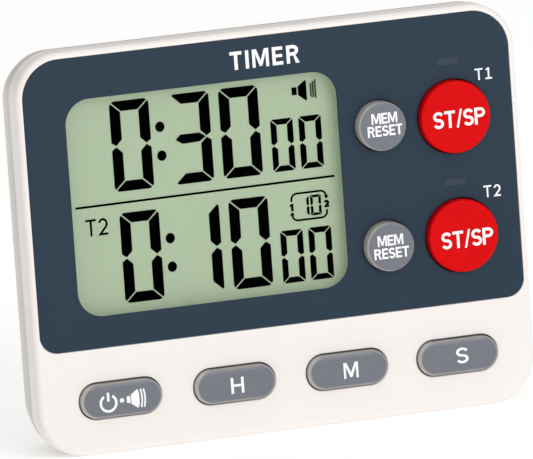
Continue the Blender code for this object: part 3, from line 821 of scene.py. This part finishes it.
def build_film():
    x, depth, z = span("face_panel")
    profile = nose(depth[0], 1.0, 0.1, 4) + [(depth[1], 0.0)]
    cuts = [plate(*window(), WINDOW_R, WINDOW_R, mouth(depth[0], 2.0, 0.0, FILM_RIM), steps=24)]
    cuts += hole_cutters(depth[0], 2.0, FILM_RIM)
    film = plate(x, z, PANEL_R_TOP, PANEL_R_LOW, profile, steps=24)
    piece("panel_film", film, PANEL, replaces=["face_panel"], cuts=cuts)


def build_lens():
    x, depth, z = span("display_window")
    radius = WINDOW_R + WINDOW_MARGIN
    sheet = plate(x, z, radius, radius, nose(depth[0], 1.0, 0.15, 3) + [(depth[1], 0.0)], steps=20)
    piece("lens", sheet, LENS, replaces=["display_window"])


def build_lamps():
    """Smoked bars over the two signal lamps."""
    for node in LAMP_NODES:
        x, depth, z = span(node)
        bar = plate(x, z, LAMP_R, LAMP_R, nose(depth[0], 1.0, 0.02, 3) + [(depth[1], 0.0)], steps=6)
        piece(f"bar_{node}", bar, SMOKE, replaces=[node])


def rear_ring(depth, grow):
    """Outline of the rear shell: it leans in behind a soft crease, about its lower edge."""
    behind = THICK - CREASE
    lean = max(0.0, depth - CREASE) / behind
    if abs(depth - CREASE) < CREASE_SOFT:
        lean = (depth - CREASE + CREASE_SOFT) ** 2 / (4 * CREASE_SOFT) / behind
    x_scale, z_scale = 1 - LEAN * lean / REAR_X[1], 1 - LEAN * lean / REAR_TOP
    points = outline(REAR_X, (0.0, REAR_TOP), REAR_R_TOP, R_LOW, grow, 24)
    return [(px * x_scale, FRONT_Y + depth, pz * z_scale) for px, pz in points]


def inner_ring(depth, lean):
    """Outline of the rear shell's hollow, which leans in about its own lower edge."""
    low = INNER_Z[0]
    x_scale, z_scale = 1 - lean / INNER_X[1], 1 - lean / (INNER_Z[1] - low)
    points = outline(INNER_X, INNER_Z, INNER_R_TOP, INNER_R_LOW, 0.0, 12)
    return [(px * x_scale, FRONT_Y + depth, low + (pz - low) * z_scale) for px, pz in points]


def dish(face, floor, radius):
    """Profile of a cutter whose own floor edge is round, for a scooped hollow."""
    points = mouth(face, floor, 0.0, 0.3)[:-1]
    for i in range(7):
        angle = math.pi / 2 * i / 6
        points.append((floor + radius * (1 - math.sin(angle)), -radius * (1 - math.cos(angle))))
    return points


def battery_bay(joins, cuts):
    """A walled bay with a slot for each cell's contact, and the rails of its door."""
    walls_x, walls_z = (BAY_X[0] - BAY_WALL, BAY_X[1] + BAY_WALL), (BAY_Z[0] - BAY_WALL, BAY_Z[1] + BAY_WALL)
    joins += [block(walls_x, BAY_WALL_DEPTH, walls_z), block(*RAILS)]
    cuts.append(plate(BAY_X, BAY_Z, 0.6, 0.6, [(BAY_FLOOR, 0), (THICK + 1, 0)], steps=4))
    slot_z = (BAY_Z[0] + 0.01, BAY_Z[0] + 0.9)
    for cell in ("battery_a", "battery_b"):
        cuts.append(block(around(place_of(cell)[0], 8.6), (6.0, BAY_FLOOR + 0.5), slot_z))
    recess = mouth(THICK, DOOR_RECESS_FLOOR, 0.0, REAR_RIM)
    cuts.append(plate(DOOR_RECESS_X, DOOR_RECESS_Z, 0.5, 0.2, recess, steps=6))
    rails_x = (DOOR_RECESS_X[0] - TONGUE, DOOR_RECESS_X[1] + TONGUE)
    cuts.append(block(rails_x, (DOOR_RECESS_FLOOR, DOOR_RECESS_FLOOR + 1.0), DOOR_RECESS_Z))


def stand_recess(joins, cuts):
    """A walled recess with a scoop for a finger below it, and a blind bore for each hinge pin."""
    x = (STAND_X[0] - STAND_GAP, STAND_X[1] + STAND_GAP)
    joins.append(block((x[0] - 2.4, x[1] + 2.2), STAND_WALL_DEPTH, STAND_WALL_Z))
    cuts.append(plate(x, STAND_RECESS_Z, 0.4, 2.9, mouth(THICK, STAND_RECESS_FLOOR, 0.0, REAR_RIM), steps=10))
    scoop = dish(THICK, SCOOP_FLOOR, 1.2)
    cuts.append(plate(around(middle(x), SCOOP_WIDTH), SCOOP_Z, 2.5, 2.5, scoop, steps=12))
    for bore in ((x[0] - 1.8, x[0] + 1.4), (x[1] - 1.4, x[1] + 1.8)):
        cuts.append(crosswise(bore, HINGE_DEPTH, HINGE_Z, PIN_HOLE_R, 20))


def magnet_seats(joins, cuts):
    for side in ("left", "right"):
        place = place_of(f"magnet_{side}")
        joins.append(rod(place, MAGNET_POST_R, (16.2, SUNK), 32))
        cuts.append(turned(*place, MAGNET_HOLE_R, mouth(THICK, MAGNET_FLOOR, 0.0, 0.2), 64))


def screw_wells(joins, cuts):
    for screw in range(1, 5):
        place = place_of(f"case_screw_{screw}")
        joins.append(rod(place, WELL_R + 1.0, (12.3, SUNK)))
        cuts.append(turned(*place, WELL_R, mouth(THICK, WELL_FLOOR, 0.0, 0.2), 40))
        cuts.append(rod(place, 1.35, (11.0, WELL_FLOOR + 1.0)))


def sound_slots(cuts):
    profile = mouth(THICK, 16.0, 0.0, 0.15, 3)
    for i in range(5):
        cuts.append(plate(around(SLOT_PITCH * (i - 2), SLOT_WIDTH), SLOT_Z, 0.6, 0.6, profile, steps=8))


def rear_fittings():
    """Joins and cuts for everything that is moulded into the back."""
    joins, cuts = [], []
    battery_bay(joins, cuts)
    stand_recess(joins, cuts)
    magnet_seats(joins, cuts)
    screw_wells(joins, cuts)
    sound_slots(cuts)
    return joins, cuts


def build_rear_shell():
    profile = nose(REAR_START, 1.0, SEAM_R, 4)
    profile += [(CREASE + CREASE_SOFT * i / 4, 0.0) for i in range(-4, 5)]
    profile += nose(THICK, -1.0, REAR_EDGE_R, 8)[::-1]
    body = loft([rear_ring(d, g) for d, g in profile])
    case_x, _, case_z = span("front_shell")
    inset = WALL + LIP_GAP
    lip = plate((case_x[0] + inset, case_x[1] - inset), (case_z[0] + inset, case_z[1] - inset),
                R_TOP - inset, R_LOW - inset, [(4.0, 0), (6.5, 0)])
    inner = loft([inner_ring(3.0, 0.0), inner_ring(CREASE, 0.0), inner_ring(THICK - REAR_WALL, INNER_LEAN)])
    piece("shell_rear", body, REAR_SHELL_SHADED, replaces=["rear_shell"], joins=[lip], cuts=[inner],
          fittings=rear_fittings())


# ---- display marks


def digit(x, z, segments, thick_x, thick_z, gap, corner):
    """Polygons of a seven-segment digit in this x and z range: a is the top, then clockwise, g the middle."""
    (x0, x1), (z0, z1) = x, z
    width, height = x1 - x0, z1 - z0
    half = height / 2
    cut = 0.29 * corner
    slip = gap * 0.7
    tip, chamfer_out, chamfer_in = 0.34 * thick_x, 0.36 * thick_x, 0.60 * thick_x
    mid = thick_z * 0.43
    round_off, shy = 0.076 * corner, 0.617 * corner
    top = [
        (cut + slip, height - cut), (shy, height - round_off), (corner, height),
        (width - corner, height), (width - shy, height - round_off), (width - cut - slip, height - cut),
        (width - thick_x - slip, height - thick_z), (thick_x + slip, height - thick_z),
    ]
    upper_left = [
        (cut, height - cut - slip), (thick_x, height - thick_z - slip), (thick_x, half + chamfer_in),
        (tip + 0.10 * thick_x, half + gap / 2), (0.0, half + chamfer_out), (0.0, height - corner),
        (round_off, height - shy),
    ]
    centre = [
        (tip, half - 0.1 * mid), (thick_x * 0.8, half + mid), (width - thick_x - gap, half + mid),
        (width - tip - gap * 1.5, half), (width - thick_x - gap, half - mid), (thick_x, half - mid * 1.15),
    ]

    def flip_x(points):
        return [(width - px, pz) for px, pz in points]

    def flip_z(points):
        return [(px, height - pz) for px, pz in points]

    shapes = {
        "a": top, "b": flip_x(upper_left), "c": flip_x(flip_z(upper_left)), "d": flip_z(top),
        "e": flip_z(upper_left), "f": upper_left, "g": centre,
    }
    return [[(x0 + px, z0 + pz) for px, pz in shapes[s]] for s in segments]


def dot(x, z, radius_x, radius_z):
    return sweep(x, z, radius_x, radius_z, 0, 345, 23)


def line(start, end, width):
    """A straight bar between two points."""
    (x0, z0), (x1, z1) = start, end
    length = math.hypot(x1 - x0, z1 - z0)
    across_x, across_z = -(z1 - z0) / length * width / 2, (x1 - x0) / length * width / 2
    return [
        (x0 + across_x, z0 + across_z), (x0 - across_x, z0 - across_z),
        (x1 - across_x, z1 - across_z), (x1 + across_x, z1 + across_z),
    ]


def arc(x, z, radius, start, end, width, steps=8):
    """A bent bar about a centre."""
    outer, inner = radius + width / 2, radius - width / 2
    return sweep(x, z, outer, outer, start, end, steps) + sweep(x, z, inner, inner, start, end, steps)[::-1]


ZERO = "abcdef"
ONE = "bc"
THREE = "abcdg"
BIG = dict(thick_x=2.2, thick_z=2.06, gap=0.26, corner=1.1)
SMALL = dict(thick_x=1.25, thick_z=1.15, gap=0.2, corner=0.55)
TINY = dict(thick_x=0.56, thick_z=0.52, gap=0.1, corner=0.14)


def display_marks():
    """Polygons of the digits and the signs beside them, about the middle of the face."""
    marks = []
    for x, segments in (((-33.0, -24.8), ZERO), ((-20.5, -12.3), THREE), ((-10.3, -2.1), ZERO)):
        marks += digit(x, (1.3, 19.4), segments, **BIG)
    for x, segments in (((-32.5, -24.3), ZERO), ((-20.0, -11.8), ONE), ((-9.8, -1.6), ZERO)):
        marks += digit(x, (-21.1, -3.0), segments, **BIG)
    for x in ((0.08, 4.76), (5.96, 10.68)):
        marks += digit(x, (1.44, 12.0), ZERO, **SMALL)
    for x in ((0.52, 5.24), (6.4, 11.2)):
        marks += digit(x, (-21.1, -10.5), ZERO, **SMALL)
    for x, z in ((-22.8, 13.3), (-22.8, 7.5), (-22.3, -9.16), (-22.3, -14.9)):
        marks.append(dot(x, z, 0.97, 1.05))
    marks.append(line((-41.4, -0.98), (12.7, -0.7), 0.44))
    marks.append([(5.0, 16.4), (6.05, 16.4), (6.05, 17.95), (5.0, 17.95)])
    marks.append([(6.3, 16.3), (7.8, 15.1), (8.1, 15.1), (8.1, 19.1), (7.8, 19.1), (6.3, 18.05)])
    return marks


def sound_marks():
    """Three upright strokes with fine hatching between them."""
    left, right = 8.95, 9.95
    marks = []
    for x, low, high in ((left, 15.75, 18.35), (middle((left, right)), 15.55, 18.75), (right, 15.3, 19.1)):
        marks.append(line((x, low), (x, high), 0.27))
    for i in range(7):
        low = 15.5 + 0.46 * i
        marks.append(line((left, low), (right, low + 0.5), 0.12))
    return marks


def loop_marks():
    """The repeat sign: a rounded loop with a count in it."""
    x0, x1, z0, z1, r, w = 3.35, 10.65, -8.75, -3.35, 1.2, 0.4
    marks = [
        line((x0 + r, z1), (x1 - r, z1), w), line((x0 + r, z0), (x1 - r, z0), w),
        arc(x0 + r, z1 - r, r, 90, 180, w), arc(x1 - r, z1 - r, r, 0, 90, w),
        arc(x0 + r, z0 + r, r, 180, 270, w), arc(x1 - r, z0 + r, r, 270, 360, w),
        line((x0, z1 - r), (x0, z1 - r - 0.35), w), line((x1, z0 + r), (x1, z0 + r + 0.35), w),
        [(x1 - 0.55, -4.4), (x1 + 0.55, -4.4), (x1, -5.1)],
        [(x0 - 0.55, -7.65), (x0 + 0.55, -7.65), (x0, -6.95)],
    ]
    marks += digit((6.1, 7.0), (-8.12, -4.0), ONE, **TINY)
    marks += digit((7.28, 9.52), (-8.12, -4.0), ZERO, **TINY)
    return marks


def build_display():
    """The marks lie just behind the front glass, set over to the line of sight."""
    glass_back = span("lcd_front_glass")[1][1]
    front, back = glass_back + MARK_DEPTH[0], glass_back + MARK_DEPTH[1]
    centre_x, centre_z = place_of("face_panel")
    shift_x = centre_x + SIGHT_X * front + DISPLAY_OFF[0]
    shift_z = centre_z - SIGHT_Z * front + DISPLAY_OFF[1]
    for name, marks, material in (
        ("lcd_marks", display_marks(), BLACK_INK),
        ("lcd_sound", sound_marks(), FAINT_INK),
        ("lcd_loop", loop_marks(), BLACK_INK),
    ):
        placed = [[(x + shift_x, z + shift_z) for x, z in mark] for mark in marks]
        piece(name, prisms(placed, front, back), material, weighted=False)
    for name, text, x, z, pen in (
        ("lcd_t2", "T2", (-39.6, -35.0), (-6.9, -3.5), 0.13),
        ("lcd_loop_from", "1", (2.9, 3.7), (-6.8, -5.3), 0.26),
        ("lcd_loop_to", "2", (10.05, 11.2), (-6.8, -5.3), 0.27),
    ):
        ends_x, ends_z = (x[0] + shift_x, x[1] + shift_x), (z[0] + shift_z, z[1] + shift_z)
        lettering(name, text, ends_x, ends_z, front + LETTER_THICK, BLACK_INK, pen=pen)


# ---- legends


def build_legends():
    """Each legend's place is from the middle of the panel or of its own cap."""
    depth = span("face_panel")[1]
    centre_x, centre_z = place_of("face_panel")
    for name, text, x, z, pen in (
        ("legend_timer", "TIMER", (-7.5, 7.0), (22.95, 26.6), 0.185),
        ("legend_t1", "Tl", (43.3, 46.9), (15.15, 17.5), 0.14),
        ("legend_t2", "T2", (43.5, 47.1), (-8.6, -6.2), 0.14),
    ):
        ends_x, ends_z = (x[0] + centre_x, x[1] + centre_x), (z[0] + centre_z, z[1] + centre_z)
        lettering(name, text, ends_x, ends_z, depth[0], WHITE_INK, pen=pen, gap=0.2)
    round_marks = (
        ("start", "ST/SP", 11.0, 3.4, {"t1": (0.70, -0.27), "t2": (0.70, -0.55)}, 0.17),
        ("reset", "MEM", 5.4, 2.15, {"t1": (0.37, 1.65), "t2": (-0.10, 1.40)}, 0.19),
        ("reset", "RESET", 7.3, 2.15, {"t1": (0.37, -0.85), "t2": (0.0, -1.18)}, 0.19),
    )
    for key, text, width, height, places, pen in round_marks:
        for channel, (off_x, off_z) in places.items():
            body = f"button_{key}_{channel}"
            x, z, _, proud = round_key(body)
            name = f"mark_{text.replace('/', '_').lower()}_{channel}"
            ends = around(x + off_x, width), around(z + off_z, height)
            lettering(name, text, *ends, -proud, WHITE_INK, body, pen=pen, gap=0.06)
    long_marks = (
        ("hour", "H", 2.7, 0.15, -0.12), ("minute", "M", 3.05, 0.37, 0.0), ("second", "S", 2.6, 0.6, 0.12),
    )
    for name, text, width, off_x, off_z in long_marks:
        x, z, proud = long_key(f"key_{name}")
        ends = around(middle(x) + off_x, width), around(middle(z) + off_z, 3.2)
        lettering(f"mark_{name}", text, *ends, -proud, WHITE_INK, f"key_{name}")


def build_power_mark():
    """The on-off sign, a dot and a loudspeaker."""
    body = "key_power"
    x, z, proud = long_key(body)
    x, z = middle(x) - 0.1, middle(z) - 0.2
    ring_x, left = x - 2.85, x + 0.95
    marks = [arc(ring_x, z - 0.25, 1.62, 122, 418, 0.5, 24)]
    marks.append(line((ring_x, z + 0.1), (ring_x, z + 1.9), 0.5))
    marks.append(dot(x - 0.05, z, 0.45, 0.45))
    marks.append([(left, z - 0.6), (left + 0.75, z - 0.75), (left + 0.75, z + 0.75), (left, z + 0.6)])
    horn = ((0.95, 0.95), (2.3, 1.9), (2.6, 1.2))
    marks.append([(left + dx, z - dz) for dx, dz in horn] + [(left + 2.65, z)]
                 + [(left + dx, z + dz) for dx, dz in horn[::-1]])
    for i in range(2):
        marks.append(arc(left - 3.3 + 0.62 * i, z, 6.5, -16.5, 16.5, 0.32))
    piece("mark_power", prisms(marks, -proud - LETTER_THICK, -proud + 0.01), WHITE_INK, body, weighted=False)


# ---- door and stand


def grooves(centre, width, low, count, face):
    """Cutters for a stack of finger grooves, from the lowest up."""
    profile = mouth(face, face - GROOVE_DEPTH, 0, 0.12, 3)
    starts = [low + GROOVE_PITCH * i for i in range(count)]
    ends_x = around(centre, width)
    return [plate(ends_x, (z, z + GROOVE), GROOVE_R, GROOVE_R, profile, steps=6) for z in starts]


def build_door():
    _, depth, z = span("battery_door")
    centre = middle(DOOR_X)
    back = FRONT_Y + depth[1]
    bm = block(DOOR_X, depth, z)
    bevel(bm, edges_where(bm, lambda c: near(c.y, back) and near(c.z, z[0])), 1.1, 8)
    bevel(bm, edges_where(bm, lambda c: near(c.y, back)), 0.22, 3)
    tongues_x = (DOOR_X[0] - TONGUE, DOOR_X[1] + TONGUE)
    tongues = block(tongues_x, (depth[0], depth[0] + TONGUE_THICK), TONGUE_Z)
    arrow = [(centre - 1.8, 21.6), (centre + 1.8, 21.6), (centre, 19.2)]
    cuts = grooves(centre, 13.0, 9.0, 5, depth[1]) + [prisms([arrow], depth[1] - GROOVE_DEPTH, depth[1] + 1)]
    piece("door", bm, REAR_SHELL_SHADED, "battery_door", replaces=["battery_door"], joins=[tongues], cuts=cuts)


def build_stand():
    _, depth, z = span("stand")
    x, centre = STAND_X, middle(STAND_X)
    half = (depth[1] - depth[0]) / 2
    hinge_z = z[1] - half
    back = FRONT_Y + depth[1]
    bm = block(x, depth, z)
    top = edges_where(bm, lambda c: near(c.z, z[1]))
    bevel(bm, [e for e in top if not runs_back(e)], half - 0.02, 10)
    low = edges_where(bm, lambda c: near(c.z, z[0]))
    bevel(bm, [e for e in low if runs_back(e)], 2.5, 12)
    bevel(bm, edges_where(bm, lambda c: near(c.y, back)), 0.3, 3)
    hollow = mouth(depth[1], depth[1] - FIELD_DEPTH, 0, 0.2)
    field = plate((x[0] + 5, x[1] - 5), (z[0] + 9, hinge_z - 7), FIELD_R, FIELD_R, hollow, steps=10)
    pins = crosswise((x[0] - PIN, x[1] + PIN), middle(depth), hinge_z, PIN_R, 32)
    cuts = [field] + grooves(centre, 18.0, z[0] + 2.0, 3, depth[1])
    piece("easel", bm, REAR_SHELL_SHADED, "stand", replaces=["stand"], joins=[pins], cuts=cuts)


# ---- battery cells


def upright(x, depth, profile):
    """A round body about an upright axis, through (z, radius) points."""
    angles = [2 * math.pi * i / CELL_SIDES for i in range(CELL_SIDES)]
    rings = []
    for z, radius in profile:
        rings.append([(x + radius * math.cos(a), FRONT_Y + depth + radius * math.sin(a), z) for a in angles])
    return loft(rings)


def build_cells():
    """Steel cans with a nub at one end, each in a printed sleeve that turns in over its ends."""
    for node, nub_up in (("battery_a", True), ("battery_b", False)):
        x, depth, z = span(node)
        radius, length = (x[1] - x[0]) / 2, z[1] - z[0]
        shoulder, parting, end = radius - 0.15, 0.74 * length, length - NUB
        turned_in = ((0.45, radius - 0.4), (0.5, radius - 0.12))
        can = [(0.0, radius - 0.8), (0.15, radius - 0.45), (0.6, shoulder), (end - 0.6, shoulder)]
        can += [(end - 0.15, radius - 0.45), (end, radius - 0.8), (end, NUB_R), (length - 0.2, NUB_R)]
        can += [(length, NUB_R - 0.2)]
        label = [*turned_in, (0.8, radius), (parting, radius)]
        band = [(parting, radius), (end - 0.8, radius)] + [(end - h, r) for h, r in turned_in[::-1]]
        for part, profile, material in (("can", can, STEEL), ("label", label, CELL), ("band", band, BAND)):
            heights = [(z[0] + h if nub_up else z[1] - h, r) for h, r in profile]
            body = upright(middle(x), middle(depth), heights)
            replaces = [node] if part == "label" else ()
            piece(f"cell_{part}_{node[-1]}", body, material, replaces=replaces)


# ---- carried-over CAD nodes

FINISH = (
    (GLASS, "lcd_front_glass"),
    (REFLECTOR_GLOWING, "lcd_rear_glass", "lcd_reflector"),
    (RUBBER, "lcd_foam_pad", "plunger"),
    (SILICONE, "zebra", "keypad"),
    (BOARD, "circuit_board"),
    (EPOXY, "chip_blob", "capacitor", "buzzer"),
    (STEEL, "crystal", "spring", "contact", "screw"),
    (FERRITE, "magnet"),
    (LAMP, "led"),
)


def finish_nodes():
    """The CAD nodes that show as they are get the material whose row has a word of their name."""
    for name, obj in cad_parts.items():
        for material, *words in FINISH:
            if any(word in name for word in words):
                obj.data.materials.clear()
                obj.data.materials.append(material)


# ---- camera, light and floor


def build_camera():
    """A long lens, far off, a little to the left and above, and tilted."""
    yaw, pitch, roll = (math.radians(angle) for angle in CAMERA_TURN)
    back = Vector((-math.sin(yaw) * math.cos(pitch), -math.cos(yaw) * math.cos(pitch), math.sin(pitch)))
    level = Vector((0, 0, 1)).cross(back).normalized()
    rise = back.cross(level)
    right = math.cos(roll) * level - math.sin(roll) * rise
    up = math.sin(roll) * level + math.cos(roll) * rise
    target = Vector((0.0, FRONT_Y * MM, AIM_HEIGHT))
    shift_right, shift_up = CAMERA_SHIFT
    data = bpy.data.cameras.new("camera")
    data.sensor_width = 36.0
    data.lens = data.sensor_width * CAMERA_DISTANCE / VIEW_WIDTH
    data.clip_end = 50.0
    camera = bpy.data.objects.new("camera", data)
    place = target + back * CAMERA_DISTANCE + right * shift_right + up * shift_up
    axes = Matrix((right, up, back)).transposed()
    camera.matrix_world = Matrix.Translation(place) @ axes.to_4x4()
    SCENE.collection.objects.link(camera)
    SCENE.camera = camera


def area_light(name, place, size, power):
    """A soft lamp that is turned to the middle of the timer."""
    data = bpy.data.lights.new(name, "AREA")
    data.shape = "RECTANGLE"
    data.size, data.size_y = size
    data.energy = power
    light = bpy.data.objects.new(name, data)
    light.location = place
    light.rotation_euler = (Vector(LAMPS_AIM) - Vector(place)).to_track_quat("-Z", "Y").to_euler()
    SCENE.collection.objects.link(light)


def build_studio():
    """White paper under and behind the timer, a dome that is darker low down, and two soft lamps."""
    world = bpy.data.worlds.new("studio")
    SCENE.world = world
    world.use_nodes = True
    tree = world.node_tree
    sky = tree.nodes.get("Background") or tree.nodes.new("ShaderNodeBackground")
    output = tree.nodes.get("World Output") or tree.nodes.new("ShaderNodeOutputWorld")
    tree.links.new(sky.outputs["Background"], output.inputs["Surface"])
    sky.inputs["Color"].default_value = (1.0, 1.0, 1.0, 1.0)
    place = tree.nodes.new("ShaderNodeTexCoord")
    split = tree.nodes.new("ShaderNodeSeparateXYZ")
    tree.links.new(place.outputs["Generated"], split.inputs["Vector"])
    dome = map_range(tree, split.outputs["Z"], HORIZON, ZENITH, 0.0, 1.0)
    far_wall = map_range(tree, split.outputs["Z"], 1.0, 0.0, *FAR_WALL)
    tree.links.new(combine(tree, "MAXIMUM", dome, far_wall), sky.inputs["Strength"])
    area_light("key", (0.32, -1.29, 0.60), (0.9, 0.9), KEY)
    area_light("strip", (-1.10, -0.32, 0.30), (0.10, 0.70), STRIP)
    bm = bmesh.new()
    bmesh.ops.create_grid(bm, x_segments=8, y_segments=8, size=FLOOR_HALF)
    bm.transform(Matrix.Translation((0.0, 0.0, -FLOOR_GAP)))
    floor = bpy.data.objects.new("floor", to_mesh("floor", bm))
    SCENE.collection.objects.link(floor)
    paper = Material("paper", srgb(250, 250, 250), 0.9).drift(0.5, 0.01).grain(0.002, 0.00002)
    floor.data.materials.append(paper.glow((1.0, 1.0, 1.0, 1.0), FLOOR_GLOW).made)


build_front_shell()
build_rear_shell()
build_film()
build_lens()
build_lamps()
build_round_keys()
build_long_keys()
build_display()
build_legends()
build_power_mark()
build_door()
build_stand()
build_cells()
finish_nodes()
build_camera()
build_studio()
